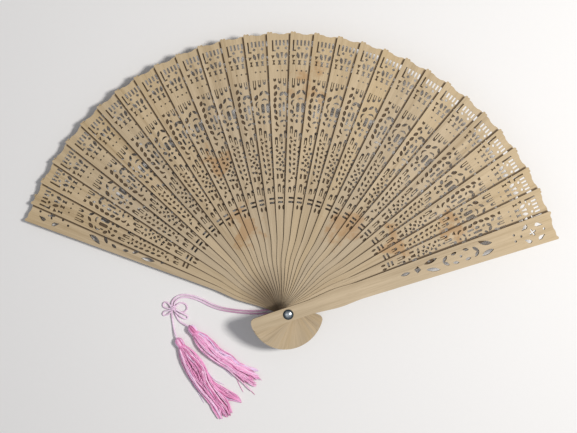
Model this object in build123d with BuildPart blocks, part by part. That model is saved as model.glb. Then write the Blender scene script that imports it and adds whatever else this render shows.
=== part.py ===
from build123d import *
import math
import os

# A folding hand fan of pierced wooden sticks, lying open and flat.
# The pivot axis is the Z axis, the rivet's flat cap rests on z = 0 and +Y points to the top of the
# open fan. Lengths are in millimetres and angles in degrees.

os.makedirs("parts", exist_ok=True)

# ---- Driving dimensions ------------------------------------------------------------------------

# The fan as a whole
STICK_COUNT = 28              # pierced sticks between the two guards
REAR_ANGLE = 157.75           # direction of the rear guard, counted from +X
FIRST_GAP = 3.77              # turn from the rear guard to the first stick
STICK_PITCH = 4.835           # turn from each stick to the next, held by the linking thread
LAST_GAP = 5.2                # turn from the last stick to the front guard

# A blade's outline: x runs from the pivot to the tip, y to the blade's left
TIP_REACH = 203.0
FOOT_REACH = 27.9
FOOT_CORNER_REACH = 26.8
FOOT_RADIUS = 3.6
NECK_WIDTH = 10.2
NECK_END = 17.0
SHOULDER_REACH = 37.5
SHOULDER_WIDTH = 14.3
WAIST_REACH = 54.0
WAIST_WIDTH = 12.5
SIDE_RADIUS = 60.0
TIP_WIDTH = 21.2

# The stack on the rivet, from the resting surface up
CAP_THICKNESS = 1.0
CORD_GAP = 1.8                # room for the turn of cord round the pin
WASHER_THICKNESS = 0.4
GUARD_THICKNESS = 1.8
STICK_THICKNESS = 0.7
BLADE_GAP = 0.1               # air between neighbouring blades
HEAD_HEIGHT = 1.9

# The rivet
PIN_RADIUS = 1.5
BORE_RADIUS = 1.6
CAP_RADIUS = 3.8
CAP_BORE_DEPTH = 0.65
CAP_FILLET = 0.3
HEAD_RADIUS = 3.75
WASHER_RADIUS = 4.5

# The cord
CORD_DIAMETER = 1.3
BOW_CORD_DIAMETER = 1.2
CORD_Z = 1.9                  # height of the turn round the pin
LOOP_RADIUS = 2.25            # centre line of that turn

REAR_GUARD_Z = CAP_THICKNESS + CORD_GAP + WASHER_THICKNESS
STICK_STEP = STICK_THICKNESS + BLADE_GAP
FIRST_STICK_Z = REAR_GUARD_Z + GUARD_THICKNESS + BLADE_GAP
FRONT_GUARD_Z = FIRST_STICK_Z + STICK_COUNT * STICK_STEP
HEAD_Z = FRONT_GUARD_Z + GUARD_THICKNESS + BLADE_GAP


def blade_plane(number, height):
    """The plane of a blade's underside: number 0 is the rear guard."""
    turn = 0.0
    if number > 0:
        turn = FIRST_GAP + STICK_PITCH * (number - 1)
    if number > STICK_COUNT:
        turn += LAST_GAP - STICK_PITCH
    angle = math.radians(REAR_ANGLE - turn)
    return Plane(origin=(0, 0, height), x_dir=(math.cos(angle), math.sin(angle), 0), z_dir=(0, 0, 1))


def save(piece, name):
    """Label a finished piece and write it."""
    piece.part.label = name
    export_step(piece.part, f"parts/{name}.step", write_pcurves=False)


# ---- Shapes of the holes -----------------------------------------------------------------------


def leaf(length, width):
    """An almond with its tips on the x axis."""
    with BuildSketch() as shape:
        with BuildLine():
            ThreePointArc((-length / 2, 0), (0, width / 2), (length / 2, 0))
            ThreePointArc((length / 2, 0), (0, -width / 2), (-length / 2, 0))
        make_face()
    return shape.sketch


def crescent(length, outer, inner):
    """A curved sliver between two arcs that bulge the same way, towards +y."""
    with BuildSketch() as shape:
        with BuildLine():
            ThreePointArc((-length / 2, 0), (0, outer), (length / 2, 0))
            ThreePointArc((length / 2, 0), (0, inner), (-length / 2, 0))
        make_face()
    return shape.sketch


def petal():
    """A flower petal that is pointed at one end and blunt at the other."""
    with BuildSketch() as shape:
        with BuildLine():
            Polyline((-3.1, 0.2), (0.9, 1.5), (2.9, 0.9), (2.3, -0.9), (0.7, -1.4), close=True)
        make_face()
    return shape.sketch


def hourglass(length, width, waist):
    """Two triangles joined at a narrow waist."""
    with BuildSketch() as shape:
        with BuildLine():
            side = Polyline((-length / 2, width / 2), (0, waist / 2), (length / 2, width / 2))
            far_side = mirror(side, about=Plane.XZ)
            Line(side @ 0, far_side.edges().sort_by(Axis.X)[0] @ 0)
            Line(side @ 1, (length / 2, -width / 2))
        make_face()
    return shape.sketch


def fork(length, eye=1.0, spread=0.95, prong=0.55):
    """A round eye at the origin with two thin prongs that run from it along +x."""
    with BuildSketch() as shape:
        Circle(eye)
        with Locations((length / 2, spread / 2 + prong / 2), (length / 2, -spread / 2 - prong / 2)):
            Rectangle(length, prong)
    return shape.sketch


def cut(shape, places):
    """Cut a shape out of the open sketch at each (reach, offset, turn)."""
    with Locations(*[Location((reach, offset, 0), (0, 0, turn)) for reach, offset, turn in places]):
        add(shape, mode=Mode.SUBTRACT)


def cut_pairs(shape, places):
    """Cut a shape at each place and at its mirror image across the blade's centre line."""
    cut(shape, places + [(reach, -offset, -turn) for reach, offset, turn in places])


# ---- Rows of holes on a stick, from the tip towards the pivot --------------------------------------


def comb_row(middle, lowest, hooks):
    """Short slots under the tip between two longer hooked ones, with two diamonds below."""
    with Locations(*[(196.4, middle + 2.7 * step) for step in range(lowest, 3)]):
        Rectangle(4.0, 1.3, mode=Mode.SUBTRACT)
    for offset, inward in zip(hooks, (-1, 1)):
        with Locations((194.3, offset)):
            Rectangle(8.0, 1.1, mode=Mode.SUBTRACT)
        with Locations((190.8, offset + inward * 0.9)):
            Rectangle(1.0, 2.2, mode=Mode.SUBTRACT)
    with Locations((192.6, middle + 1.3 + 2.9), (192.6, middle + 1.3 - 2.9)):
        Rectangle(1.7, 1.7, rotation=45, mode=Mode.SUBTRACT)


def sunburst_row(middle):
    """A middle ray, two leaning leaves and two small corner triangles."""
    with Locations((187.5, middle)):
        Trapezoid(2.1, 4.2, 80, rotation=90, mode=Mode.SUBTRACT)
    cut(leaf(4.8, 2.2), [(187.3, middle + 3.0, 16), (187.3, middle - 3.0, -16)])
    with Locations((186.6, middle + 6.5), (186.6, middle - 6.5)):
        Triangle(a=2.8, b=2.8, C=70, rotation=90, mode=Mode.SUBTRACT)


def hourglass_row(middle):
    """Four hourglasses, the middle two with thicker waists."""
    cut(hourglass(3.3, 2.1, 0.6), [(182.3, middle + 6.15, 0), (182.3, middle - 6.15, 0)])
    cut(hourglass(3.3, 2.3, 1.1), [(182.3, middle + 2.0, 0), (182.3, middle - 2.0, 0)])


def thread_holes(middle):
    """The holes for the linking thread."""
    with Locations(*[(176.4, middle + 3.45 * step) for step in (-1, 0, 1)]):
        Circle(0.6, mode=Mode.SUBTRACT)


def fork_row(middle, lean):
    """Four forks with their tops in line and their eyes on a slant."""
    top = 170.7
    for step in range(4):
        reach = 167.1 + lean * 1.6 * (step - 1.5)
        cut(fork(top - reach), [(reach, middle + 3.6 * (step - 1.5), 0)])


def arch_row(middle, lean):
    """Four arches on a slant, their eyes towards the tip."""
    for step in range(4):
        offset = middle + 3.35 * (step - 1.5)
        cut(fork(4.4, eye=1.1), [(131.1 + lean * 0.71 * offset, offset, 180)])


def lower_arch_row(reaches, length):
    """Four longer arches below the lattice."""
    for step, reach in enumerate(reaches):
        cut(fork(length, eye=1.05), [(reach, 4.1 - 3.4 * step, 180)])


def bar_rows(offset):
    """Two rows of short bars across the stick."""
    with Locations(*[(reach, side * offset) for reach in (83.9, 80.9) for side in (1, -1)]):
        Rectangle(1.45, 3.7, mode=Mode.SUBTRACT)


def cracked_ice(chips, wedges):
    """A field of small four- and three-sided holes, each turned its own way."""
    with BuildSketch(mode=Mode.PRIVATE) as chip:
        Polygon((-1.2, -0.55), (0.35, -1.2), (1.25, 0.5), (-0.3, 1.15))
    with BuildSketch(mode=Mode.PRIVATE) as wedge:
        Polygon((-1.0, -1.1), (1.35, -0.1), (-0.8, 1.2))
    for hole, places in ((chip, chips), (wedge, wedges)):
        cut(hole.sketch, [(reach, offset, 37 * order) for order, (reach, offset) in enumerate(places)])


def even_lattice():
    """Holes in staggered columns over a row of tall quadrilaterals."""
    staggered = [(118.6, 5.2), (109.6, 5.2), (112.0, 3.3), (120.4, 1.6), (110.0, 1.3), (104.6, 3.1)]
    between = [(121.6, 5.1), (114.2, 5.2), (105.0, 5.3), (116.5, 3.3), (107.9, 2.9), (124.0, 1.5), (114.3, 1.3)]
    low = [(117.2, 0.2), (107.4, 0.3), (112.2, -0.9), (103.6, 0.6)]
    right = [(reach - 0.6, -offset - 0.9) for reach, offset in staggered + between if offset > 2]
    cracked_ice(chips=staggered + low[::2] + right[::2], wedges=between + low[1::2] + right[1::2])
    with Locations((99.8, 5.1), (99.9, -3.9)):
        Rectangle(3.6, 1.4, mode=Mode.SUBTRACT)
    with Locations((99.9, 2.1), (99.8, -0.9)):
        Trapezoid(2.2, 3.5, 84, rotation=90, mode=Mode.SUBTRACT)
    cracked_ice(chips=[], wedges=[(96.6, 0.9), (96.8, -2.6)])


def odd_lattice():
    """A column of slender leaning holes along the edge and columns of larger ones beside it."""
    slender = [(121.4, 5.9), (117.3, 5.6), (112.6, 5.3), (108.1, 5.1), (103.4, 4.9)]
    cut(leaf(3.7, 1.6), [(reach, offset, 12) for reach, offset in slender])
    cut(leaf(3.7, 1.6), [(reach, -offset - 0.4, -12) for reach, offset in slender])
    first = [(122.4, 2.6), (119.3, 2.5), (115.8, 2.4), (112.2, 2.3), (108.7, 2.2), (105.3, 2.1), (101.7, 2.0)]
    second = [(reach - 1.6, offset - 3.2) for reach, offset in first]
    third = [(reach + 0.2, offset - 6.2) for reach, offset in first]
    columns = first + second + third
    top = [(127.7, 5.8), (125.1, 5.2), (125.8, 2.5)]
    bottom = [(98.3, 3.4), (95.9, 4.8), (98.4, 0.2), (97.4, -3.2)]
    cracked_ice(chips=columns[::2], wedges=columns[1::2] + top + bottom)


def leafy_medallion():
    """A column of leaves along each edge and slender ovals between them."""
    middle = -0.5
    leaves = [(164.6, 5.9, -28), (159.8, 5.8, -26), (155.3, 6.2, -16), (150.9, 6.5, 4), (146.6, 5.9, 24)]
    leaves += [(142.3, 5.8, 32), (159.6, 1.5, -40)]
    for side in (1, -1):
        cut(leaf(4.1, 2.3), [(reach, middle + side * offset, side * turn) for reach, offset, turn in leaves])
        cut(
            leaf(2.8, 1.6),
            [(163.4, middle + side * 3.6, side * 25), (155.9, middle + side * 2.5, side * 35)],
        )
        cut(crescent(4.2, 1.9, 0.4), [(137.9, middle + side * 4.3, side * 30)])
        cut(leaf(3.4, 1.6), [(139.9, middle + side * 1.6, side * -62)])
        with Locations((151.0, middle + side * 2.9)):
            Ellipse(1.8, 1.05, mode=Mode.SUBTRACT)
        with Locations((145.5, middle + side * 2.8)):
            SlotOverall(5.0, 1.4, mode=Mode.SUBTRACT)
    with Locations((150.3, middle)):
        SlotOverall(6.8, 1.6, mode=Mode.SUBTRACT)
    with Locations((136.4, middle), (143.6, middle)):
        Circle(0.8, mode=Mode.SUBTRACT)


def oval_medallion():
    """Two tall ovals side by side in a wreath of leaves and crescents."""
    middle = 0.2
    with Locations((149.8, middle + 1.8), (149.8, middle - 1.8)):
        SlotOverall(7.0, 2.4, mode=Mode.SUBTRACT)
    for side in (1, -1):
        cut(leaf(4.8, 2.6), [(158.0, middle + side * 5.9, side * -25)])
        cut(leaf(4.6, 1.9), [(160.9, middle + side * 2.0, side * -38)])
        cut(crescent(4.8, 2.1, 0.8), [(152.9, middle + side * 5.0, side * -12)])
        cut(leaf(3.0, 1.0), [(149.6, middle + side * 5.0, side * 3)])
        cut(leaf(3.6, 2.4), [(146.5, middle + side * 6.0, side * 40)])
        cut(leaf(3.2, 1.6), [(143.9, middle + side * 4.4, side * -35)])
        cut(leaf(3.2, 1.8), [(140.2, middle + side * 5.7, side * 30)])
        with Locations((143.7, middle + side * 1.8)):
            Rectangle(1.7, 1.7, rotation=45, mode=Mode.SUBTRACT)
        with Locations((139.9, middle + side * 2.0)):
            Ellipse(1.5, 0.95, mode=Mode.SUBTRACT)
    cut(crescent(4.6, 1.9, 0.6), [(155.2, middle, -90)])


# ---- Blades ------------------------------------------------------------------------------------


def blade_outline():
    """A blade with its pin bore and no piercing: both guards and every stick share it."""
    with BuildSketch() as outline:
        with BuildLine():
            ThreePointArc(
                (-FOOT_CORNER_REACH, -NECK_WIDTH / 2), (-FOOT_REACH, 0), (-FOOT_CORNER_REACH, NECK_WIDTH / 2)
            )
            edge = Polyline(
                (-FOOT_CORNER_REACH, NECK_WIDTH / 2),
                (NECK_END, NECK_WIDTH / 2),
                (SHOULDER_REACH, SHOULDER_WIDTH / 2),
                (WAIST_REACH, WAIST_WIDTH / 2),
                (TIP_REACH, TIP_WIDTH / 2),
            )
            mirror(edge, about=Plane.XZ)
            # A small knob at each corner and shallow scallops between them
            half_tip = [
                ThreePointArc(*[(TIP_REACH + reach, TIP_WIDTH / 2 - inset) for reach, inset in arc])
                for arc in (
                    ((0, 0), (1.4, 0.9), (0.8, 2.0)),
                    ((0.8, 2.0), (0.2, 3.3), (0.3, 4.6)),
                    ((0.3, 4.6), (0.35, 6.3), (-0.15, 8.0)),
                    ((-0.15, 8.0), (-0.45, 9.2), (-0.4, TIP_WIDTH / 2)),
                )
            ]
            mirror(half_tip, about=Plane.XZ)
        make_face()
        fillet(outline.vertices().group_by(Axis.X)[0], FOOT_RADIUS)
        side_corners = outline.vertices().filter_by_position(Axis.X, NECK_END - 1, WAIST_REACH + 1)
        fillet(side_corners, SIDE_RADIUS)
        Circle(BORE_RADIUS, mode=Mode.SUBTRACT)
    return outline.sketch


def leafy_stick():
    """The pattern of the even sticks."""
    with BuildSketch() as face:
        add(OUTLINE)
        comb_row(middle=-1.5, lowest=-1, hooks=(6.6, -7.6))
        sunburst_row(0.1)
        hourglass_row(-0.1)
        thread_holes(0.05)
        fork_row(0.3, lean=1)
        leafy_medallion()
        arch_row(0.4, lean=-1)
        with Locations((133.5, 5.2)):
            Triangle(a=3.0, b=3.0, C=55, rotation=90, mode=Mode.SUBTRACT)
        even_lattice()
        lower_arch_row(reaches=(93.3, 92.2, 92.2, 93.3), length=5.2)
        bar_rows(3.45)
        cut_pairs(leaf(3.7, 1.6), [(77.1, 4.4, 0), (77.1, 1.5, 0)])
    return face.sketch


def oval_stick():
    """The pattern of the odd sticks."""
    with BuildSketch() as face:
        add(OUTLINE)
        comb_row(middle=-0.25, lowest=-2, hooks=(8.0, -8.4))
        sunburst_row(1.2)
        hourglass_row(0.9)
        thread_holes(1.05)
        fork_row(0.9, lean=-1)
        oval_medallion()
        arch_row(0.6, lean=1)
        odd_lattice()
        lower_arch_row(reaches=(91.0, 92.0, 92.0, 91.0), length=3.2)
        bar_rows(2.7)
    return face.sketch


def guard_face():
    """The sparse pattern of the guards: a flower, scrolls, chevrons and leaves on one line."""
    with BuildSketch() as face:
        add(OUTLINE)
        with Locations((187.2, 0)):
            Rectangle(5.2, 1.2, rotation=18, mode=Mode.SUBTRACT)
            Rectangle(5.2, 1.2, rotation=108, mode=Mode.SUBTRACT)
        cut(petal(), [(182.4, 4.7, 30), (182.3, -5.2, -33), (192.9, 4.3, 163), (192.6, -5.0, 202)])
        with Locations((195.9, 0), (178.3, -0.2), (173.4, 2.3), (173.4, -2.4)):
            Circle(0.85, mode=Mode.SUBTRACT)
        cut(crescent(10.6, 0.9, -2.3), [(151.8, 4.5, -22)])
        cut(crescent(10.0, 2.0, -1.2), [(151.7, -3.6, 12)])
        cut(leaf(5.6, 2.3), [(143.8, 1.9, -47), (144.0, -1.6, 45), (120.2, 1.9, 40), (120.2, -1.5, -42)])
        cut(leaf(4.6, 2.0), [(127.5, 3.7, 10), (127.4, -3.1, -15), (136.7, 3.8, -20), (136.7, -3.2, 4)])
        with Locations((132.1, 0.2)):
            Circle(0.95, mode=Mode.SUBTRACT)
        cut(crescent(10.6, 1.2, -1.6), [(109.8, 3.9, 8)])
        cut(crescent(10.4, 1.6, -1.2), [(109.9, -2.8, -18)])
        with Locations((99.0, 0.8)):
            Rectangle(3.6, 3.6, rotation=27, mode=Mode.SUBTRACT)
        cut(leaf(7.2, 2.4), [(89.7, 0.6, 0)])
    return face.sketch


OUTLINE = blade_outline()
GUARD_FACE = guard_face()
STICK_FACES = (leafy_stick(), oval_stick())

with BuildPart() as rear_guard:
    with BuildSketch(blade_plane(0, REAR_GUARD_Z)):
        add(GUARD_FACE)
    extrude(amount=GUARD_THICKNESS)
save(rear_guard, "rear_guard")

for number in range(1, STICK_COUNT + 1):
    with BuildPart() as stick:
        with BuildSketch(blade_plane(number, FIRST_STICK_Z + (number - 1) * STICK_STEP)):
            add(STICK_FACES[number % 2])
        extrude(amount=STICK_THICKNESS)
    save(stick, f"stick_{number:02d}")

with BuildPart() as front_guard:
    with BuildSketch(blade_plane(STICK_COUNT + 1, FRONT_GUARD_Z)):
        add(GUARD_FACE)
    extrude(amount=GUARD_THICKNESS)
save(front_guard, "front_guard")

# ---- Rivet -------------------------------------------------------------------------------------

with BuildPart() as rivet_pin:
    # A shank through the whole stack under a shallow domed head
    with BuildSketch(Plane.XY.offset(CAP_THICKNESS - CAP_BORE_DEPTH)):
        Circle(PIN_RADIUS)
    extrude(amount=HEAD_Z - CAP_THICKNESS + CAP_BORE_DEPTH)
    with BuildSketch(Plane.XZ):
        with BuildLine():
            rim = 0.35
            Polyline((0, HEAD_Z + HEAD_HEIGHT), (0, HEAD_Z), (HEAD_RADIUS, HEAD_Z), (HEAD_RADIUS, HEAD_Z + rim))
            TangentArc(
                (HEAD_RADIUS, HEAD_Z + rim), (0, HEAD_Z + HEAD_HEIGHT), tangent=(1, 0), tangent_from_first=False
            )
        make_face()
    revolve(axis=Axis.Z)
save(rivet_pin, "rivet_pin")

with BuildPart() as rivet_cap:
    # The disc that the pin is closed on, flat on its lower face
    with BuildSketch():
        Circle(CAP_RADIUS)
    extrude(amount=CAP_THICKNESS)
    fillet(rivet_cap.edges().filter_by(GeomType.CIRCLE).group_by(Axis.Z)[-1], CAP_FILLET)
    with Locations((0, 0, CAP_THICKNESS)):
        Hole(PIN_RADIUS, depth=CAP_BORE_DEPTH)
save(rivet_cap, "rivet_cap")

with BuildPart() as rear_washer:
    # Keeps the turn of cord off the rear guard
    with BuildSketch(Plane.XY.offset(CAP_THICKNESS + CORD_GAP)):
        Circle(WASHER_RADIUS)
        Circle(BORE_RADIUS, mode=Mode.SUBTRACT)
    extrude(amount=WASHER_THICKNESS)
save(rear_washer, "rear_washer")

# ---- Cord --------------------------------------------------------------------------------------

# Routes of the two strands, from the turn round the pin, through the knot and into the tassels
STRAND_1_ROUTE = [
    (0, 2.25, 1.9), (-9, 0.7, 1.75), (-19, -1.6, 0.95), (-33.1, -1.4, 0.65), (-47.6, 0.7, 0.65),
    (-56.5, 4.0, 0.65), (-62.3, 7.2, 0.65), (-68.3, 9.8, 0.65), (-75.6, 11.4, 0.65), (-81.1, 10.7, 0.65),
    (-84.6, 8.3, 0.75), (-86.2, 5.0, 1.3), (-85.8, 1.1, 1.8), (-86.2, -3.9, 0.9), (-85.5, -9.6, 0.65),
    (-84.6, -14.7, 1.2), (-83.3, -19.3, 2.5), (-81.1, -23.5, 3.0), (-78.2, -28.4, 3.0), (-75.8, -33.2, 2.8),
]
STRAND_2_ROUTE = [
    (0, -2.25, 1.9), (-9, -3.0, 1.75), (-19.2, -3.7, 0.95), (-33.6, -3.1, 0.65), (-48.3, -1.0, 0.65),
    (-57.4, 2.3, 0.65), (-63.2, 5.6, 0.65), (-69.0, 8.1, 0.65), (-75.4, 9.6, 0.65), (-79.9, 8.9, 0.65),
    (-83.0, 6.8, 0.75), (-84.4, 4.1, 1.3), (-84.1, 0.6, 1.8), (-83.4, -3.3, 0.9), (-81.4, -7.8, 0.65),
    (-78.4, -10.4, 1.0), (-75.0, -11.6, 2.2), (-71.4, -14.1, 3.0), (-67.6, -18.9, 3.0), (-63.9, -23.7, 2.8),
]
# Routes of the bow: two round loops and two narrow doubled tails, all in and out of the knot
BOW_ROUTES = {
    "bow_loop_left": [
        (-86.3, 1.8, 2.0), (-88.5, 5.2, 1.4), (-91.3, 6.1, 0.7), (-93.1, 3.7, 0.6), (-91.3, 1.2, 0.9),
        (-86.9, 0.8, 2.0),
    ],
    "bow_loop_right": [
        (-83.6, 2.1, 2.0), (-81.8, 4.3, 1.0), (-78.5, 5.3, 0.6), (-75.4, 3.9, 0.6), (-74.3, 0.9, 0.6),
        (-76.3, -1.9, 0.6), (-80.0, -2.1, 0.9), (-83.4, 0.0, 1.8),
    ],
    "bow_tail_left": [
        (-86.5, -0.2, 2.3), (-90.4, -0.8, 1.3), (-92.3, -1.7, 0.7), (-93.0, -3.2, 0.6), (-92.1, -4.4, 0.6),
        (-89.9, -4.2, 0.9), (-86.3, -1.4, 2.0),
    ],
    "bow_tail_right": [
        (-83.3, 0.6, 2.9), (-79.8, -1.5, 2.5), (-76.2, -3.7, 1.2), (-74.2, -5.0, 0.7), (-74.3, -6.6, 0.6),
        (-75.7, -7.3, 0.6), (-79.1, -5.6, 1.5), (-83.3, -1.4, 2.6),
    ],
}
KNOT_CENTER = (-85.0, 0.7, 1.9)
KNOT_SIZE = (4.6, 4.8, 3.7)
KNOT_FILLET = 1.4


def bend_radii(route):
    """The largest arc that each corner of a route leaves room for."""
    radii = []
    for before, corner, after in zip(route, route[1:], route[2:]):
        arriving = Vector(corner) - Vector(before)
        leaving = Vector(after) - Vector(corner)
        half_turn = math.radians(arriving.get_angle(leaving) / 2)
        radii.append(0.45 * min(arriving.length, leaving.length) / math.tan(half_turn))
    return radii


def lay_cord(name, route, diameter):
    """A round cord along a route of straight runs joined by arcs."""
    radii = bend_radii(route)
    with BuildPart() as cord:
        with BuildLine() as path:
            FilletPolyline(*route, radius=radii)
        with BuildSketch(Plane(origin=path.line @ 0, z_dir=path.line % 0)):
            Circle(diameter / 2)
        sweep(path=path.line)
    length = path.wire().length
    tube_volume = math.pi * diameter**2 / 4 * length
    print(f"{name}: length {length:.1f}, volume {cord.part.volume / tube_volume:.4f} of its tube")
    print("  radii", " ".join(f"{radius:.1f}" for radius in radii))
    save(cord, name)


with BuildPart() as cord_loop:
    # The half turn round the pin, between the cap and the rear washer
    with BuildLine() as turn:
        ThreePointArc((0, LOOP_RADIUS, CORD_Z), (LOOP_RADIUS, 0, CORD_Z), (0, -LOOP_RADIUS, CORD_Z))
    with BuildSketch(Plane(origin=turn.line @ 0, z_dir=turn.line % 0)):
        Circle(CORD_DIAMETER / 2)
    sweep(path=turn.line)
save(cord_loop, "cord_loop")

lay_cord("cord_strand_1", STRAND_1_ROUTE, CORD_DIAMETER)
lay_cord("cord_strand_2", STRAND_2_ROUTE, CORD_DIAMETER)
for name, route in BOW_ROUTES.items():
    lay_cord(name, route, BOW_CORD_DIAMETER)

with BuildPart(Plane(KNOT_CENTER)) as bow_knot:
    Box(*KNOT_SIZE)
    fillet(bow_knot.edges(), KNOT_FILLET)
save(bow_knot, "bow_knot")

# ---- Tassels -----------------------------------------------------------------------------------

TASSEL_AXIS_Z = 3.0
TASSEL_HEAD_LENGTH = 5.9
TASSEL_HEAD_RADIUS = 2.95
TASSEL_NECK_RADIUS = 2.3
BINDING_RADIUS = 2.7
BINDING_LENGTH = 2.4
SKIRT_START_RADIUS = 2.6

# Each skirt lies on the surface and widens: middle of the section, half its width, half its height
TASSELS = {
    "tassel_1": {
        "binding": (-78.7, -27.5),
        "direction": (0.52, -0.854),
        "skirt": [
            (-73.2, -36.3, 5.7, 3.0), (-67.9, -45.4, 6.7, 2.8), (-61.1, -56.8, 6.6, 2.6),
            (-52.8, -69.6, 6.2, 2.3), (-45.8, -82.0, 6.2, 1.8),
        ],
    },
    "tassel_2": {
        "binding": (-68.6, -17.8),
        "direction": (0.62, -0.785),
        "skirt": [
            (-62.8, -24.0, 5.3, 3.0), (-55.0, -31.2, 6.1, 2.8), (-45.1, -38.7, 6.1, 2.5),
            (-34.7, -47.1, 7.0, 2.2), (-21.2, -57.6, 9.2, 1.7),
        ],
    },
}

for name, tassel in TASSELS.items():
    binding = Vector(*tassel["binding"], TASSEL_AXIS_Z)
    direction = Vector(*tassel["direction"], 0)
    sideways = direction.cross(Vector(0, 0, 1))
    lengthwise = Plane(origin=binding, x_dir=direction, z_dir=sideways)
    skirt_start = binding + direction * (BINDING_LENGTH / 2)

    with BuildPart() as head:
        with BuildSketch(lengthwise):
            with BuildLine():
                neck = -BINDING_LENGTH / 2
                top = neck - TASSEL_HEAD_LENGTH
                CenterArc((top + TASSEL_HEAD_RADIUS, 0), TASSEL_HEAD_RADIUS, 90, 90)
                Polyline(
                    (top + TASSEL_HEAD_RADIUS, TASSEL_HEAD_RADIUS), (neck, TASSEL_NECK_RADIUS), (neck, 0), (top, 0)
                )
            make_face()
        revolve(axis=Axis(binding, direction))
    save(head, f"{name}_head")

    with BuildPart() as binding_ring:
        with BuildSketch(Plane(origin=skirt_start, x_dir=sideways, z_dir=direction)):
            Circle(BINDING_RADIUS)
        extrude(amount=-BINDING_LENGTH)
    save(binding_ring, f"{name}_binding")

    with BuildPart() as skirt:
        with BuildSketch(Plane(origin=skirt_start, x_dir=sideways, z_dir=direction)):
            Circle(SKIRT_START_RADIUS)
        previous = skirt_start
        for x, y, half_breadth, half_height in tassel["skirt"]:
            middle = Vector(x, y, half_height + 0.05)
            along = Vector(x - previous.X, y - previous.Y, 0).normalized()
            with BuildSketch(Plane(origin=middle, x_dir=along.cross(Vector(0, 0, 1)), z_dir=along)):
                Ellipse(half_breadth, half_height)
            previous = middle
        loft()
    save(skirt, f"{name}_skirt")
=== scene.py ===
import math

import bpy
import numpy as np
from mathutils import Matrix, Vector


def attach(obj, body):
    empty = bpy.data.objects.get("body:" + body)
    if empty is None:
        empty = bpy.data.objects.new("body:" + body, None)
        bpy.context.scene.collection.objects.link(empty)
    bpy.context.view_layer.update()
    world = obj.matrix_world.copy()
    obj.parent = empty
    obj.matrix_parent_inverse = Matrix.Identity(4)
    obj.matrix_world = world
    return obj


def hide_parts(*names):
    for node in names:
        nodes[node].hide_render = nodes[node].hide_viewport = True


# Looks of a folding wooden fan with a silk cord, a small bow and two tassels.
# Lengths are in metres unless a name or comment says millimetres.

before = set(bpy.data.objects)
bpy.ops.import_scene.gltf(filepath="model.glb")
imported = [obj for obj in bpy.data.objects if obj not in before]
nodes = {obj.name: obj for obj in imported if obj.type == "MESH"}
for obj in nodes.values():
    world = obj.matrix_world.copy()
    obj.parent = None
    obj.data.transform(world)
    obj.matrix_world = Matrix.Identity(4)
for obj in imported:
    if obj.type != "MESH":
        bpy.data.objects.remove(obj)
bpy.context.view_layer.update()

ROOT = "rear_blade_and_rivet"
STICK_COUNT = 28
# Direction of the rear guard and the turn from each blade to the next, as in the CAD
REAR_ANGLE = math.radians(157.75)
GAPS = [math.radians(gap) for gap in (3.77, *[4.835] * (STICK_COUNT - 1), 5.2)]
MM = 0.001
# Half the width of a blade, as a straight line from the pivot out
HALF_WIDTH_AT_PIVOT = 4.7 * MM
HALF_WIDTH_SLOPE = 0.0292

# ---- Small helpers -----------------------------------------------------------------------------


def in_metres(points):
    """Points given in millimetres, as vectors in metres."""
    return [Vector(point) * MM for point in points]


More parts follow.
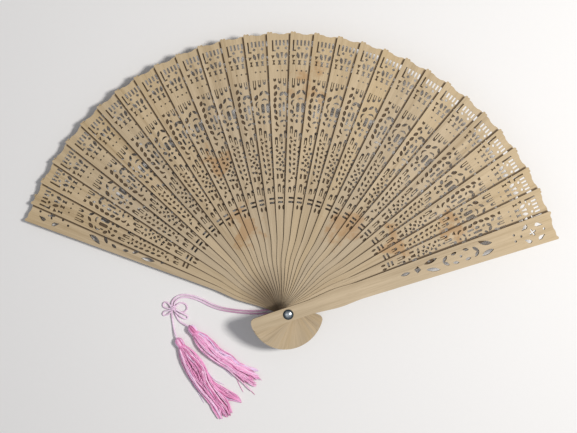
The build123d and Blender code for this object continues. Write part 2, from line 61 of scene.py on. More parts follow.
class Shader:
    """A material's node tree, built one node at a time."""

    def __init__(self, name):
        self.material = bpy.data.materials.new(name)
        self.material.use_nodes = True
        self.tree = self.material.node_tree
        self.surface = self.tree.nodes["Principled BSDF"]

    def node(self, kind, inputs=None, **settings):
        """A node with its settings and inputs, each a value or another node's output."""
        made = self.tree.nodes.new(kind)
        for key, value in settings.items():
            setattr(made, key, value)
        for key, value in (inputs or {}).items():
            self.put(value, made.inputs[key])
        return made

    def put(self, value, socket):
        """Link an output to a socket, or set its value."""
        if isinstance(value, bpy.types.NodeSocket):
            self.tree.links.new(value, socket)
        else:
            socket.default_value = value

    def set(self, **values):
        """Feed the surface's inputs, named with underscores for spaces."""
        for key, value in values.items():
            self.put(value, self.surface.inputs[key.replace("_", " ")])

    def coordinates(self, turn=0.0, scale=(1, 1, 1), shift=(0, 0, 0)):
        """Object coordinates, turned about Z, then scaled and shifted."""
        place = self.node("ShaderNodeTexCoord").outputs["Object"]
        turned = self.node("ShaderNodeVectorRotate", {"Vector": place, "Angle": turn}, rotation_type="Z_AXIS")
        mapped = self.node(
            "ShaderNodeMapping", {"Vector": turned.outputs[0], "Scale": scale, "Location": shift}
        )
        return mapped.outputs[0]

    def noise(self, vector, scale=1.0, detail=4.0, roughness=0.55, distortion=0.0):
        """Noise from 0 to 1 at a place."""
        inputs = {"Vector": vector, "Scale": scale, "Detail": detail}
        inputs |= {"Roughness": roughness, "Distortion": distortion}
        return self.node("ShaderNodeTexNoise", inputs).outputs["Fac"]

    def math(self, operation, first, second=0.0):
        """One sum on one or two numbers."""
        return self.node("ShaderNodeMath", {0: first, 1: second}, operation=operation).outputs[0]

    def remap(self, value, low, high, new_low=0.0, new_high=1.0):
        """A value carried from one range to another, kept inside it."""
        made = self.node(
            "ShaderNodeMapRange",
            {"Value": value, "From Min": low, "From Max": high, "To Min": new_low, "To Max": new_high},
        )
        return made.outputs["Result"]

    def ramp(self, value, stops):
        """A colour ramp with stops of (position, color)."""
        made = self.node("ShaderNodeValToRGB", {"Fac": value})
        elements = made.color_ramp.elements
        while len(elements) < len(stops):
            elements.new(0.5)
        for element, (position, color) in zip(elements, stops):
            element.position = position
            element.color = (*color, 1)
        return made.outputs["Color"]

    def mix(self, share, first, second):
        """The first colour with a share of the second."""
        made = self.node("ShaderNodeMix", data_type="RGBA")
        self.put(share, made.inputs[0])
        for value, socket in ((first, made.inputs[6]), (second, made.inputs[7])):
            self.put((*value, 1) if isinstance(value, tuple) else value, socket)
        return made.outputs[2]

    def distance(self, place, x, y):
        """How far a place is from an upright line through x and y, in metres."""
        away = self.node("ShaderNodeVectorMath", {0: place, 1: (x, y, 0.0)}, operation="SUBTRACT")
        level = {0: away.outputs[0], 1: (1.0, 1.0, 0.0)}
        flat = self.node("ShaderNodeVectorMath", level, operation="MULTIPLY")
        return self.node("ShaderNodeVectorMath", {0: flat.outputs[0]}, operation="LENGTH").outputs["Value"]

    def bump(self, height, distance, strength=1.0):
        """Fine relief from a height."""
        made = self.node("ShaderNodeBump", {"Height": height, "Distance": distance, "Strength": strength})
        self.set(Normal=made.outputs[0])


# ---- Materials ---------------------------------------------------------------------------------

WOOD_PALE = (0.60, 0.475, 0.32)
WOOD_MID = (0.46, 0.355, 0.225)
WOOD_DARK = (0.28, 0.195, 0.105)
WOOD_RIM = (0.52, 0.385, 0.205)
WOOD_GREY = (0.40, 0.325, 0.225)
WOOD_CUT_BURN_AND_SHADE = (0.040, 0.018, 0.006)
# Painted shade: the dark brown laid under the next blade and by the rivet
WOOD_PAINTED_SHADE = (0.050, 0.024, 0.009)
# Mauve of the painted shade on the cord beside the blades
CORD_SHADE_MAUVE = (0.42, 0.17, 0.30)
STAIN = (0.36, 0.175, 0.050)
# Where the painted shade on the crowded sticks is darkest, in metres
PIVOT_SHADE_SPOT = (-0.011, 0.010)
# Old stains that run across several sticks: middle and reach, in millimetres
STAINS = (((14, 170), 13), ((44, 60), 15), ((-31, 63), 13), ((79, 50), 11), ((-52, 110), 9), ((120, 62), 8))


def wood(name, angle, seed, tone, gap_above, gap_below, pivot_shade):
    """Raw sanded wood with its grain along a blade, its cut walls burnt brown and darkened with painted
    shade, and a painted shadow under and beside the next blade.
    """
    shader = Shader(name)
    drift = (seed * 0.37, seed * 0.21, seed * 0.13)
    fibre = shader.noise(shader.coordinates(-angle, (30, 1300, 300), drift), detail=5, roughness=0.65)
    figure = shader.noise(shader.coordinates(-angle, (7, 190, 60), drift), detail=3, distortion=0.6)
    pores = shader.noise(shader.coordinates(-angle, (110, 3400, 900), drift), detail=2)
    cloud = shader.noise(shader.coordinates(), scale=22, detail=3)

    color = shader.ramp(figure, [(0.28, WOOD_DARK), (0.46, WOOD_MID), (0.74, WOOD_PALE)])
    color = shader.mix(shader.remap(fibre, 0.42, 0.62, 0.0, 0.45), color, WOOD_PALE)
    color = shader.mix(shader.remap(fibre, 0.46, 0.30, 0.0, 0.40), color, WOOD_DARK)
    color = shader.mix(shader.remap(pores, 0.58, 0.70, 0.0, 0.5), color, WOOD_DARK)
    color = shader.mix(shader.remap(cloud, 0.35, 0.7, 0.1, 0.45), color, tone)

    # The middle of the fan has weathered greyer than its rim
    place = shader.node("ShaderNodeTexCoord").outputs["Object"]
    from_pivot = shader.node("ShaderNodeVectorMath", {0: place}, operation="LENGTH").outputs["Value"]
    color = shader.mix(shader.remap(from_pivot, 0.150, 0.205, 0.0, 0.35), color, WOOD_RIM)
    greyness = shader.math("MULTIPLY", shader.remap(from_pivot, 0.165, 0.08, 0.0, 0.5), cloud)
    color = shader.mix(greyness, color, WOOD_GREY)

    wander = shader.noise(place, scale=75.0, detail=5.0, roughness=0.62)
    for (x, y), reach in STAINS:
        ragged = shader.remap(wander, 0.32, 0.68, -0.013, 0.013)
        ragged = shader.math("ADD", shader.distance(place, x * MM, y * MM), ragged)
        share = shader.remap(ragged, reach * MM, reach * MM * 0.35, 0.0, 0.5)
        color = shader.mix(share, color, STAIN)

    # Painted shade on the crowded sticks to the left of the rivet, where the taller stack would shade them
    painted_pivot_shade = shader.remap(shader.distance(place, *PIVOT_SHADE_SPOT), 0.026, 0.007, 0.0, pivot_shade)
    color = shader.mix(painted_pivot_shade, color, WOOD_PAINTED_SHADE)

    # Blade coordinates: along the blade from the pivot, and across it
    blade = shader.node("ShaderNodeSeparateXYZ", {0: shader.coordinates(-angle)})
    along, across = blade.outputs["X"], blade.outputs["Y"]
    edge = shader.math("MULTIPLY_ADD", along, HALF_WIDTH_SLOPE)
    edge.node.inputs[2].default_value = HALF_WIDTH_AT_PIVOT
    # Neither the feet nor the very tips get the painted shadow
    beyond_pivot = shader.math(
        "MULTIPLY", shader.remap(along, 0.004, 0.009), shader.remap(along, 0.2032, 0.2022)
    )
    shadow_line = shader.remap(along, 0.015, 0.110, 0.0002, 0.0017)
    normal = shader.node("ShaderNodeSeparateXYZ", {0: shader.node("ShaderNodeNewGeometry").outputs["Normal"]})
    # Painted shadow: each face is darkened where the neighbouring blade covers it, and in a line beyond that
    # blade's edge where its shadow would fall
    for gap, facing in ((gap_above, 1), (gap_below, -1)):
        if gap == 0:
            continue
        limit = shader.math("SUBTRACT", edge, shader.math("MULTIPLY", along, math.tan(gap)))
        offset = shader.math("MULTIPLY", across, facing)
        depth = shader.math("ADD", shader.math("SUBTRACT", limit, offset), shadow_line)
        share = shader.math("MULTIPLY", shader.remap(depth, 0.0, 0.0007, 0.0, 0.88), beyond_pivot)
        faces = shader.remap(normal.outputs["Z"], facing * 0.5, facing * 0.7)
        color = shader.mix(shader.math("MULTIPLY", share, faces), color, WOOD_PAINTED_SHADE)

    # Cut walls darkened: a burnt brown and painted shade, full on the walls of the holes and weaker on the
    # blade's outer edge
    wall = shader.remap(shader.math("ABSOLUTE", normal.outputs["Z"]), 0.75, 0.35)
    inside = shader.math("SUBTRACT", edge, shader.math("ABSOLUTE", across))
    wall_depth = shader.remap(inside, 0.0002, 0.0006, 0.35, 1.0)
    color = shader.mix(shader.math("MULTIPLY", wall, wall_depth), color, WOOD_CUT_BURN_AND_SHADE)

    shader.set(Base_Color=color, Roughness=shader.remap(fibre, 0.3, 0.7, 0.55, 0.78))
    shader.surface.inputs["Specular IOR Level"].default_value = 0.3
    shader.bump(shader.math("ADD", fibre, shader.math("MULTIPLY", pores, -0.6)), 0.00012, 0.6)
    return shader.material


def steel(name, color, rim, roughness):
    """Polished metal with fine handling scratches and smudges, and a painted dark reflection where it turns
    away from straight up.
    """
    shader = Shader(name)
    scratch = shader.noise(shader.coordinates(0.6, (400, 9000, 400)), detail=3)
    smudge = shader.noise(shader.coordinates(), scale=500, detail=2)
    normal = shader.node("ShaderNodeSeparateXYZ", {0: shader.node("ShaderNodeNewGeometry").outputs["Normal"]})
    # Painted reflection: faces that turn away from straight up take the dark rim colour
    turned = shader.remap(shader.math("ABSOLUTE", normal.outputs["Z"]), 0.97, 0.80)
    blotched = shader.mix(shader.remap(smudge, 0.45, 0.6, 0.0, 0.5), color, rim)
    shader.set(Base_Color=shader.mix(turned, blotched, rim))
    shader.set(Metallic=1.0, Roughness=shader.remap(smudge, 0.3, 0.7, roughness, roughness + 0.16))
    shader.bump(scratch, 0.00001, 0.4)
    return shader.material


def silk(name, color, shade, gloss=0.42, fan_shade=0.0):
    """Satin thread: a fine twist in its colour and bump, and a soft sheen, with painted shade beside the
    blades.
    """
    shader = Shader(name)
    twist = shader.noise(shader.coordinates(), scale=2600, detail=2)
    patch = shader.noise(shader.coordinates(), scale=240, detail=2)
    mixed = shader.mix(shader.remap(patch, 0.35, 0.65, 0.0, 0.5), color, shade)
    mixed = shader.mix(shader.remap(twist, 0.45, 0.65, 0.0, 0.55), mixed, shade)
    place = shader.node("ShaderNodeSeparateXYZ", {0: shader.node("ShaderNodeTexCoord").outputs["Object"]})
    # Painted shade: the cord turns mauve where it runs beside the blades
    mixed = shader.mix(shader.remap(place.outputs["X"], -0.062, -0.042, 0.0, fan_shade), mixed, CORD_SHADE_MAUVE)
    shader.set(Base_Color=mixed, Roughness=gloss)
    shader.surface.inputs["Sheen Weight"].default_value = 0.35
    shader.surface.inputs["Sheen Roughness"].default_value = 0.4
    shader.bump(twist, 0.00005, 0.5)
    return shader.material


def dress(obj, *materials):
    """Give an object these materials and no others."""
    obj.data.materials.clear()
    for material in materials:
        obj.data.materials.append(material)


# ---- Blades and rivet --------------------------------------------------------------------------

dice = np.random.default_rng(7)


def finish_blade(name, number):
    """Give a blade its own cut of wood."""
    angle = REAR_ANGLE - sum(GAPS[:number])
    warmth = dice.uniform(-1, 1)
    tone = (0.47 + 0.06 * warmth, 0.365 + 0.02 * warmth, 0.23 - 0.03 * warmth)
    # The painted shade by the rivet is strongest on the left sticks, and the front guard has none
    leftness = min(max((angle - 0.9) / 1.2, 0.15), 1.0)
    pivot_shade = 0.0 if number > STICK_COUNT else 0.6 * leftness
    gap_above, gap_below = [*GAPS, 0.0][number], [0.0, *GAPS][number]
    material = wood(f"wood_{name}", angle, 1 + 3 * number, tone, gap_above, gap_below, pivot_shade)
    for slot in nodes[name].material_slots:
        slot.material = material


finish_blade("rear_guard", 0)
for number in range(1, STICK_COUNT + 1):
    finish_blade(f"stick_{number:02d}", number)
finish_blade("front_guard", STICK_COUNT + 1)

bright_steel = steel("bright_steel", (0.86, 0.92, 0.94), (0.07, 0.10, 0.12), 0.14)
dull_steel = steel("dull_steel", (0.50, 0.51, 0.50), (0.30, 0.31, 0.31), 0.34)
for name in ("rivet_pin", "rivet_cap"):
    for slot in nodes[name].material_slots:
        slot.material = bright_steel
for slot in nodes["rear_washer"].material_slots:
    slot.material = dull_steel

# ---- Cord and bow ------------------------------------------------------------------------------

CORD_DIAMETER = 1.3 * MM
BOW_DIAMETER = 1.2 * MM
CORD_PLIES = 3
PLY_PITCH = 2.6               # in cord diameters, from one ply to the next

# The knot's middle, directions and half sizes, in millimetres
KNOT_MIDDLE = np.array([-85.0, 0.7, 1.95])
KNOT_ALONG = np.array([0.22, -0.976, 0.0])
KNOT_ACROSS = np.array([0.976, 0.22, 0.0])
KNOT_HALF_WIDTH = 1.62
KNOT_HALF_HEIGHT = 1.24

# Routes in millimetres, the same points as the CAD tubes
STRAND_1_ROUTE = [
    (0, 2.25, 1.9), (-9, 0.7, 1.75), (-19, -1.6, 0.95), (-33.1, -1.4, 0.65), (-47.6, 0.7, 0.65),
    (-56.5, 4.0, 0.65), (-62.3, 7.2, 0.65), (-68.3, 9.8, 0.65), (-75.6, 11.4, 0.65), (-81.1, 10.7, 0.65),
    (-84.6, 8.3, 0.75), (-86.2, 5.0, 1.3), (-85.8, 1.1, 1.8), (-86.2, -3.9, 0.9), (-85.5, -9.6, 0.65),
    (-84.6, -14.7, 1.2), (-83.3, -19.3, 2.5), (-81.1, -23.5, 3.0), (-78.2, -28.4, 3.0), (-75.8, -33.2, 2.8),
]
STRAND_2_ROUTE = [
    (0, -2.25, 1.9), (-9, -3.0, 1.75), (-19.2, -3.7, 0.95), (-33.6, -3.1, 0.65), (-48.3, -1.0, 0.65),
    (-57.4, 2.3, 0.65), (-63.2, 5.6, 0.65), (-69.0, 8.1, 0.65), (-75.4, 9.6, 0.65), (-79.9, 8.9, 0.65),
    (-83.0, 6.8, 0.75), (-84.4, 4.1, 1.3), (-84.1, 0.6, 1.8), (-83.4, -3.3, 0.9), (-81.4, -7.8, 0.65),
    (-78.4, -10.4, 1.0), (-75.0, -11.6, 2.2), (-71.4, -14.1, 3.0), (-67.6, -18.9, 3.0), (-63.9, -23.7, 2.8),
]
LOOP_ROUTE = [
    (0, 2.25, 1.9), (1.3, 2.25, 1.9), (2.25, 1.0, 1.9), (2.25, -1.0, 1.9), (1.3, -2.25, 1.9), (0, -2.25, 1.9),
]
BOW_ROUTES = {
    "bow_loop_left": [
        (-86.3, 1.8, 2.0), (-88.5, 5.2, 1.4), (-91.3, 6.1, 0.7), (-93.1, 3.7, 0.6), (-91.3, 1.2, 0.9),
        (-86.9, 0.8, 2.0),
    ],
    "bow_loop_right": [
        (-83.6, 2.1, 2.0), (-81.8, 4.3, 1.0), (-78.5, 5.3, 0.6), (-75.4, 3.9, 0.6), (-74.3, 0.9, 0.6),
        (-76.3, -1.9, 0.6), (-80.0, -2.1, 0.9), (-83.4, 0.0, 1.8),
    ],
    "bow_tail_left": [
        (-86.5, -0.2, 2.3), (-90.4, -0.8, 1.3), (-92.3, -1.7, 0.7), (-93.0, -3.2, 0.6), (-92.1, -4.4, 0.6),
        (-89.9, -4.2, 0.9), (-86.3, -1.4, 2.0),
    ],
    "bow_tail_right": [
        (-83.3, 0.6, 2.9), (-79.8, -1.5, 2.5), (-76.2, -3.7, 1.2), (-74.2, -5.0, 0.7), (-74.3, -6.6, 0.6),
        (-75.7, -7.3, 0.6), (-79.1, -5.6, 1.5), (-83.3, -1.4, 2.6),
    ],
}
cord_silk = silk("cord_silk", (0.88, 0.72, 0.86), (0.74, 0.42, 0.62), fan_shade=0.75)


def smooth_line(route, step):
    """Points along the NURBS line that a route controls, evenly spaced."""
    data = bpy.data.curves.new("line", "CURVE")
    data.dimensions = "3D"
    data.resolution_u = 24
    spline = data.splines.new("NURBS")
    spline.points.add(len(route) - 1)
    for point, place in zip(spline.points, in_metres(route)):
        point.co = (*place, 1)
    spline.order_u = 3
    spline.use_endpoint_u = True
    obj = bpy.data.objects.new("line", data)
    mesh = bpy.data.meshes.new_from_object(obj)
    line = np.array([vertex.co[:] for vertex in mesh.vertices])
    bpy.data.objects.remove(obj)
    bpy.data.meshes.remove(mesh)
    bpy.data.curves.remove(data)
    walked = np.concatenate([[0], np.cumsum(np.linalg.norm(np.diff(line, axis=0), axis=1))])
    stations = np.linspace(0, walked[-1], max(8, int(walked[-1] / step)))
    return np.stack([np.interp(stations, walked, line[:, axis]) for axis in range(3)], 1)


def tube_faces(rings, sides):
    """Faces of a capped tube whose vertices come ring by ring."""
    faces = []
    for ring in range(rings - 1):
        first, second = ring * sides, (ring + 1) * sides
        for side in range(sides):
            following = (side + 1) % sides
            faces.append((first + side, second + side, second + following, first + following))
    faces.append(tuple(range(sides)))
    faces.append(tuple(reversed(range((rings - 1) * sides, rings * sides))))
    return faces


def add_mesh(name, vertices, faces):
    """A smooth object from vertices in metres and faces."""
    mesh = bpy.data.meshes.new(name)
    mesh.from_pydata(vertices, [], faces)
    mesh.shade_smooth()
    obj = bpy.data.objects.new(name, mesh)
    bpy.context.scene.collection.objects.link(obj)
    return obj


def stand_in(obj, node):
    """Put a piece on the rear guard's body in place of a CAD node."""
    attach(obj, ROOT)
    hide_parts(node)
    return obj


def twisted_tube(name, line, diameter):
    """A laid cord: a tube along a line whose plies wind round it."""
    sides = CORD_PLIES * 6
    count = len(line)
    tangents = np.gradient(line, axis=0)
    tangents /= np.linalg.norm(tangents, axis=1)[:, None]
    across = np.cross(tangents[0], (0.0, 0.0, 1.0))
    across /= np.linalg.norm(across)
    walked = np.concatenate([[0], np.cumsum(np.linalg.norm(np.diff(line, axis=0), axis=1))])
    around = np.arange(sides) * 2 * math.pi / sides
    vertices = []
    for index in range(count):
        across = across - tangents[index] * np.dot(across, tangents[index])
        across /= np.linalg.norm(across)
        upward = np.cross(tangents[index], across)
        phase = 2 * math.pi * walked[index] / (diameter * PLY_PITCH * CORD_PLIES)
        radius = diameter / 2 * (0.90 + 0.10 * np.abs(np.cos(CORD_PLIES / 2 * (around - phase))))
        end = min(index, count - 1 - index)
        if end < 2:
            radius = radius * (0.70, 0.93)[end]
        ring = line[index] + radius[:, None] * (
            np.cos(around)[:, None] * across + np.sin(around)[:, None] * upward
        )
        vertices.extend(ring.tolist())
    return add_mesh(name, vertices, tube_faces(count, sides))


def cord_piece(name, route, diameter, node):
    """A laid cord on a route, riding with the rear guard in place of its CAD tube."""
    line = smooth_line(route, diameter * 0.28)
    piece = twisted_tube(name, line, diameter)
    dress(piece, cord_silk)
    return stand_in(piece, node), line


silk_turn, _ = cord_piece("silk_turn", LOOP_ROUTE, CORD_DIAMETER, "cord_loop")
strand_1, line_1 = cord_piece("silk_strand_1", STRAND_1_ROUTE, CORD_DIAMETER, "cord_strand_1")
strand_2, line_2 = cord_piece("silk_strand_2", STRAND_2_ROUTE, CORD_DIAMETER, "cord_strand_2")
for name, route in BOW_ROUTES.items():
    piece, _ = cord_piece(f"silk_{name}", route, BOW_DIAMETER, name)


def add_knot():
    """The bow's knot: three turns of cord, the last laid slantwise over the others."""
    line = []
    for turns in np.linspace(0, 3, 121):
        on_top = turns > 2
        angle = 2 * math.pi * turns
        slant = 0.75 * math.cos(angle) * (1 if on_top else -0.2)
        line.append(
            KNOT_MIDDLE
            + KNOT_ALONG * (1.25 * (turns - 1.5) * (0.35 if on_top else 1.0) + slant)
            + KNOT_ACROSS * KNOT_HALF_WIDTH * math.cos(angle)
            + np.array([0, 0, 1.0]) * KNOT_HALF_HEIGHT * math.sin(angle)
        )
    knot = twisted_tube("silk_knot", np.array(line) * MM, BOW_DIAMETER)
    dress(knot, cord_silk)
    return stand_in(knot, "bow_knot")


add_knot()

# ---- Tassels -----------------------------------------------------------------------------------

# The pinks are lit, mid and shaded copies of one silk, spread at random among the threads as painted
# highlight and shade; the lavender is a painted sheen
TASSEL_TINTS = [
    silk("tassel_mid", (0.90, 0.43, 0.68), (0.78, 0.26, 0.52), 0.36),
    silk("tassel_light", (0.96, 0.64, 0.84), (0.90, 0.48, 0.72), 0.33),
    silk("tassel_deep", (0.64, 0.17, 0.38), (0.50, 0.10, 0.26), 0.42),
    silk("tassel_lavender", (0.84, 0.70, 0.92), (0.80, 0.54, 0.80), 0.36),
]


# Places of the tints in that list
MID, DEEP, LAVENDER = 0, 2, 3
# Odds of each tint: on a skirt's middle, at its edges, for single threads, and likewise on a head. The edges
# take more of the lavender painted sheen
MIDDLE_ODDS = [0.60, 0.26, 0.08, 0.06]
EDGE_ODDS = [0.45, 0.25, 0.05, 0.25]
SINGLE_ODDS = [0.54, 0.26, 0.10, 0.10]
HEAD_MIDDLE_ODDS = [0.52, 0.26, 0.14, 0.08]
HEAD_EDGE_ODDS = [0.25, 0.25, 0.05, 0.45]

# In millimetres
TASSEL_AXIS_Z = 3.0           # height of a tassel's axis at its binding
SKIRT_BOTTOM_Z = 0.35         # the lowest centre line of a skirt's threads
SKIRT_NECK_RADIUS = 2.4       # where a skirt's threads leave the binding
SKIRT_REACH = 60.0
# Half the thickness of each skirt at even steps down its length
SKIRT_1_RISE = (2.4, 2.9, 2.7, 2.5, 2.1, 1.6, 1.2)
SIDE_LOCK_RISE = (2.2, 1.9, 1.6, 1.2, 0.7)
SKIRT_2_RISE = (2.4, 2.9, 2.7, 2.4, 2.0, 1.5, 1.1)
# A head's outline: distance along it from the binding, and radius
HEAD_PROFILE = [
    (-7.2, 0.35), (-7.0, 1.2), (-6.3, 2.1), (-5.2, 2.7),
    (-4.0, 2.9), (-2.8, 2.85), (-1.6, 2.7), (-0.8, 2.6),
]
HEAD_THREADS = 30             # in each of a head's two layers
BINDING_TURNS = 5
BINDING_PITCH = 0.42
BINDING_HALF_WIDTH = 2.7
BINDING_HALF_HEIGHT = 2.6
HEAD_INSET = 0.22             # from a head's outline to its threads' centre lines
THREAD_SIDES = 5


def thin_tube(line, radii):
    """Vertices and faces of a thread along a line."""
    tangents = np.gradient(line, axis=0)
    tangents /= np.linalg.norm(tangents, axis=1)[:, None] + 1e-12
    across = np.cross(tangents, (0.13, 0.21, 0.97))
    across /= np.linalg.norm(across, axis=1)[:, None]
    upward = np.cross(tangents, across)
    around = np.arange(THREAD_SIDES) * 2 * math.pi / THREAD_SIDES
    sideways = np.cos(around)[None, :, None] * across[:, None, :]
    rings = line[:, None, :] + radii[:, None, None] * (
        sideways + np.sin(around)[None, :, None] * upward[:, None, :]
    )
    return rings.reshape(-1, 3), tube_faces(len(line), THREAD_SIDES)


def thread_bundle(name, threads, node):
    """One mesh of many threads, each a line in millimetres with its radii and tint."""
    vertices, faces, tints = [], [], []
    for line, radii, tint in threads:
        made, rings = thin_tube(np.asarray(line) * MM, np.asarray(radii) * MM)
        base = len(vertices)
        vertices.extend(made.tolist())
        faces.extend(tuple(base + corner for corner in face) for face in rings)
        tints.extend([tint] * len(rings))
    bundle = add_mesh(name, vertices, faces)
    dress(bundle, *TASSEL_TINTS)
    for polygon, tint in zip(bundle.data.polygons, tints):
        polygon.material_index = tint
    return stand_in(bundle, node)


def along_edge(edge, share):
    """Points at shares of the length of an edge given by its corners, eased round the corners."""
    corners = np.array(edge, float)
    walked = np.concatenate([[0], np.cumsum(np.linalg.norm(np.diff(corners, axis=0), axis=1))])
    walked /= walked[-1]
    blurred = [
        np.stack([np.interp(np.clip(share + step, 0, 1), walked, corners[:, axis]) for axis in (0, 1)], 1)
        for step in (-0.04, 0.0, 0.04)
    ]
    middle = sum(blurred) / 3
    ends = np.clip(np.minimum(share, 1 - share) / 0.04, 0, 1)[:, None]
    return blurred[1] * (1 - ends) + middle * ends


def tapered(radius, count):
    """A thread's radii, thinned over its last three places."""
    radii = np.full(count, radius)
    radii[-3:] = radius * np.array([0.9, 0.75, 0.45])
    return radii


def skirt_threads(left, right, start, height, locks, per_lock, overshoot):
    """Loose threads between two edges, gathered in locks that wander, cross and split apart."""
    threads = []
    stations = 44
    share = np.linspace(0, 1, stations)
    rise = np.interp(share, np.linspace(0, 1, len(height)), height)
    opening = np.clip(share / 0.10, 0, 1)[:, None] ** 0.7
    for lock in range(locks):
        home = -1 + 2 * (lock + 0.5) / locks + dice.uniform(-0.06, 0.06)
        level = dice.uniform(-1, 1)
        sway, phase = dice.uniform(0.10, 0.30), dice.uniform(0, 6.28)
        reach = dice.uniform(-3.5, 0.7) * overshoot
        lock_tint = dice.choice(4, p=MIDDLE_ODDS if abs(home) < 0.75 else EDGE_ODDS)
        for _ in range(per_lock):
            own = home + dice.uniform(-1, 1) * 1.5 / locks
            depth = np.clip(level + dice.uniform(-0.8, 0.8), -1, 1)
            length = 1 + (reach + dice.uniform(-1.2, 0.3) * overshoot) / SKIRT_REACH
            wave, turn = dice.uniform(0.03, 0.09), dice.uniform(0, 6.28)
            gather = 1 - 0.30 * share**2
            lateral = home + (own - home) * gather + sway * np.sin(phase + share * 7) * share
            lateral = np.clip(lateral + wave * np.sin(turn + share * 19), -1.03, 1.03)
            walked = np.clip(share * length, 0, 1)
            a, b = along_edge(left, walked), along_edge(right, walked)
            beyond = np.clip(share * length - 1, 0, None)[:, None] * SKIRT_REACH
            flow = (a[-1] - a[-4]) + (b[-1] - b[-4])
            flow /= np.linalg.norm(flow) + 1e-9
            flat = (a + b) / 2 + (b - a) / 2 * lateral[:, None] + beyond * flow
            curve = np.sqrt(np.clip(1 - lateral**2, 0.02, 1))
            bob = np.clip(depth + 0.35 * np.sin(turn * 2 + share * 14), -1, 1)
            z = SKIRT_BOTTOM_Z + rise * (1 + bob * curve) * 0.98
            spin = math.pi / 2 * own
            neck = np.array(start) + SKIRT_NECK_RADIUS * np.array([0, 0, depth * math.cos(spin)])
            neck[:2] += SKIRT_NECK_RADIUS * math.sin(spin) * (b[0] - a[0]) / np.linalg.norm(b[0] - a[0])
            line = neck * (1 - opening) + np.column_stack([flat, z]) * opening
            tint = lock_tint if dice.random() < 0.55 else dice.choice(4, p=SINGLE_ODDS)
            threads.append((line, tapered(dice.uniform(0.24, 0.33), stations), int(tint)))
    return threads


def loose_thread(points, tint, radius):
    """One stray thread lying on the surface."""
    smooth = smooth_line([(x, y, radius + 0.15) for x, y in points], 1.2 * MM) / MM
    return smooth, tapered(radius, len(smooth)), tint


def tassel_head(name, binding, direction, node):
    """Threads folded over the knotted cord end and drawn in at the neck."""
    axis = np.array([*direction, 0.0])
    side = np.array([direction[1], -direction[0], 0.0])
    middle = np.array([*binding, TASSEL_AXIS_Z])
    threads = []
    corners = range(len(HEAD_PROFILE))
    stations = np.linspace(0, len(HEAD_PROFILE) - 1, 22)
    reach = np.interp(stations, corners, [place[0] for place in HEAD_PROFILE])
    bulge = np.interp(stations, corners, [place[1] for place in HEAD_PROFILE])
    for layer, shrink in ((0, 0.86), (1, 1.0)):
        for index in range(HEAD_THREADS):
            turn = 2 * math.pi * (index + 0.5 * layer) / HEAD_THREADS + dice.uniform(-0.05, 0.05)
            lean = turn + dice.uniform(-0.12, 0.12) * np.linspace(-1, 1, len(reach))
            # A head lies a little flattened
            half_width = 1.1 * bulge * shrink - HEAD_INSET
            half_height = 0.97 * bulge * shrink - HEAD_INSET
            line = (
                middle
                + axis * reach[:, None]
                + side * (np.sin(lean) * half_width)[:, None]
                + np.array([0, 0, 1.0]) * (np.cos(lean) * half_height)[:, None]
            )
            edge_on = abs(math.sin(turn)) > 0.8
            tint = dice.choice(4, p=HEAD_EDGE_ODDS if edge_on else HEAD_MIDDLE_ODDS)
            threads.append((line, np.full(len(line), dice.uniform(0.30, 0.36)), int(tint)))
    return thread_bundle(name, threads, node)


def tassel_binding(name, binding, direction, node):
    """Tight turns of thread round the neck."""
    axis = np.array([*direction, 0.0])
    side = np.array([direction[1], -direction[0], 0.0])
    turns = np.linspace(0, BINDING_TURNS, 120)
    angle = 2 * math.pi * turns
    line = (
        np.array([*binding, TASSEL_AXIS_Z])
        + axis * ((turns - BINDING_TURNS / 2) * BINDING_PITCH)[:, None]
        + side * (BINDING_HALF_WIDTH * np.sin(angle))[:, None]
        + np.array([0, 0, 1.0]) * (BINDING_HALF_HEIGHT * np.cos(angle))[:, None]
    )
    return thread_bundle(name, [(line, np.full(len(line), 0.24), MID)], node)


# Bindings, and the edges of the skirts and of the side lock seen from above, in millimetres
TASSEL_1_BINDING, TASSEL_1_DIRECTION = (-78.7, -27.5), (0.52, -0.854)
TASSEL_1_LEFT = [
    (-81.0, -29.6), (-81.0, -33.9), (-79.0, -39.3), (-74.0, -49.6), (-67.9, -58.8), (-61.0, -67.5),
    (-55.2, -76.8), (-51.5, -83.5),
]
TASSEL_1_RIGHT = [
    (-76.0, -26.6), (-71.2, -30.0), (-67.4, -33.8), (-62.9, -39.5), (-60.1, -45.6), (-57.7, -53.0),
    (-50.5, -62.6), (-44.5, -69.2), (-40.8, -80.5),
]
SIDE_LOCK_START = (-70.5, -38.0, 2.6)
SIDE_LOCK_LEFT = [
    (-68.0, -42.0), (-60.5, -52.0), (-55.5, -60.0), (-50.0, -66.0), (-45.0, -69.0), (-34.0, -71.3),
]
SIDE_LOCK_RIGHT = [
    (-66.0, -38.0), (-60.5, -46.5), (-54.0, -55.4), (-43.7, -60.5), (-37.0, -65.5), (-34.0, -70.5),
]
TASSEL_2_BINDING, TASSEL_2_DIRECTION = (-68.6, -17.8), (0.62, -0.785)
TASSEL_2_LEFT = [
    (-70.6, -21.3), (-68.9, -24.1), (-66.3, -28.3), (-59.3, -35.5), (-51.3, -41.1), (-43.3, -45.8),
    (-38.8, -50.4), (-32.3, -56.1), (-28.5, -60.7), (-24.6, -63.6),
]
TASSEL_2_RIGHT = [
    (-66.0, -16.2), (-61.3, -18.2), (-56.2, -22.8), (-48.8, -30.6), (-41.3, -34.6), (-37.2, -39.7),
    (-31.2, -42.8), (-24.8, -45.1), (-19.6, -46.6),
]
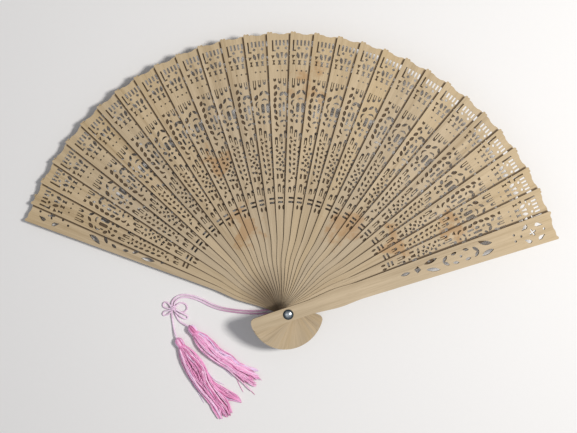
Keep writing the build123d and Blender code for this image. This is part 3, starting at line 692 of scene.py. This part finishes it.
# Stray threads: places, tint and radius
STRAYS_1 = [
    (
        [
            (-62, -66), (-59.1, -70.8), (-54.9, -79.2), (-51.6, -82.6), (-50.6, -81.0), (-52.5, -78.2),
            (-57.3, -72.8),
        ],
        MID, 0.27,
    ),
    (
        [(-66, -37), (-63.4, -39.5), (-60.5, -45.5), (-57.2, -51.0), (-52.4, -55.2), (-47.2, -57.3)],
        LAVENDER, 0.22,
    ),
    ([(-79.5, -36), (-77.4, -44.5), (-72.6, -54.5), (-66.5, -63.5), (-62.5, -71.0)], LAVENDER, 0.24),
]
STRAYS_2 = [
    ([(-41.5, -46.5), (-37.8, -52.6), (-35.7, -58.0), (-32.9, -63.2)], MID, 0.24),
    ([(-37, -51.5), (-31.9, -56.9), (-27.0, -62.3), (-24.2, -65.3)], DEEP, 0.24),
    ([(-58, -35.5), (-53.0, -41.5), (-46.5, -45.5), (-41.0, -51.5)], LAVENDER, 0.22),
]

threads_1 = skirt_threads(
    TASSEL_1_LEFT, TASSEL_1_RIGHT, (*TASSEL_1_BINDING, TASSEL_AXIS_Z), SKIRT_1_RISE,
    locks=15, per_lock=15, overshoot=0.8,
)
threads_1 += skirt_threads(
    SIDE_LOCK_LEFT, SIDE_LOCK_RIGHT, SIDE_LOCK_START, SIDE_LOCK_RISE, locks=4, per_lock=10, overshoot=0.5
)
threads_1 += [loose_thread(*stray) for stray in STRAYS_1]
threads_2 = skirt_threads(
    TASSEL_2_LEFT, TASSEL_2_RIGHT, (*TASSEL_2_BINDING, TASSEL_AXIS_Z), SKIRT_2_RISE,
    locks=15, per_lock=15, overshoot=3.0,
)
threads_2 += [loose_thread(*stray) for stray in STRAYS_2]
tassel_1 = [
    tassel_head("tassel_1_fold", TASSEL_1_BINDING, TASSEL_1_DIRECTION, "tassel_1_head"),
    tassel_binding("tassel_1_wraps", TASSEL_1_BINDING, TASSEL_1_DIRECTION, "tassel_1_binding"),
    thread_bundle("tassel_1_threads", threads_1, "tassel_1_skirt"),
]
tassel_2 = [
    tassel_head("tassel_2_fold", TASSEL_2_BINDING, TASSEL_2_DIRECTION, "tassel_2_head"),
    tassel_binding("tassel_2_wraps", TASSEL_2_BINDING, TASSEL_2_DIRECTION, "tassel_2_binding"),
    thread_bundle("tassel_2_threads", threads_2, "tassel_2_skirt"),
]

# ---- Stage -------------------------------------------------------------------------------------

FLOOR_COLOR = (0.80, 0.79, 0.78)


def add_floor():
    """A plain pale floor, a hair under the fan."""
    shader = Shader("floor_paper")
    grain = shader.noise(shader.coordinates(), scale=260, detail=3)
    shader.set(Base_Color=shader.mix(shader.remap(grain, 0.3, 0.7, 0, 0.06), FLOOR_COLOR, (0.7, 0.7, 0.7)))
    shader.set(Roughness=0.9)
    mesh = bpy.data.meshes.new("floor")
    reach = 3.0
    corners = [(-reach, -reach, 0), (reach, -reach, 0), (reach, reach, 0), (-reach, reach, 0)]
    mesh.from_pydata(corners, [], [(0, 1, 2, 3)])
    floor = bpy.data.objects.new("floor", mesh)
    floor.location.z = -0.0002
    bpy.context.scene.collection.objects.link(floor)
    dress(floor, shader.material)


def add_light(name, place, target, size, power, color):
    """A round soft light that faces a target."""
    data = bpy.data.lights.new(name, "AREA")
    data.shape = "DISK"
    data.size = size
    data.energy = power
    data.color = color
    light = bpy.data.objects.new(name, data)
    light.location = place
    light.rotation_euler = (Vector(target) - Vector(place)).to_track_quat("-Z", "Y").to_euler()
    bpy.context.scene.collection.objects.link(light)


def add_world():
    """Even light from all round."""
    world = bpy.data.worlds.new("studio")
    world.use_nodes = True
    background = world.node_tree.nodes["Background"]
    background.inputs["Color"].default_value = (0.92, 0.94, 1.0, 1)
    background.inputs["Strength"].default_value = 0.30
    bpy.context.scene.world = world


def add_camera():
    """Nearly straight above, as far away as the picture's slight perspective suggests."""
    data = bpy.data.cameras.new("camera")
    data.sensor_width = 36.0
    data.lens = 58.403
    data.clip_start = 0.01
    camera = bpy.data.objects.new("camera", data)
    camera.location = (-0.0274, 0.1049, 0.700)
    camera.rotation_euler = [math.radians(angle) for angle in (-2.897, -2.368, -0.127)]
    bpy.context.scene.collection.objects.link(camera)
    bpy.context.scene.camera = camera


add_floor()
add_world()
fan_middle = (0.0, 0.09, 0.0)
add_light("key", (0.62, 0.18, 0.98), fan_middle, 0.24, 11.5, (1.0, 0.98, 0.95))
add_light("fill", (-0.4, -0.3, 1.2), fan_middle, 1.2, 1.5, (0.95, 0.97, 1.0))
add_camera()
bpy.context.scene.view_settings.view_transform = "Standard"
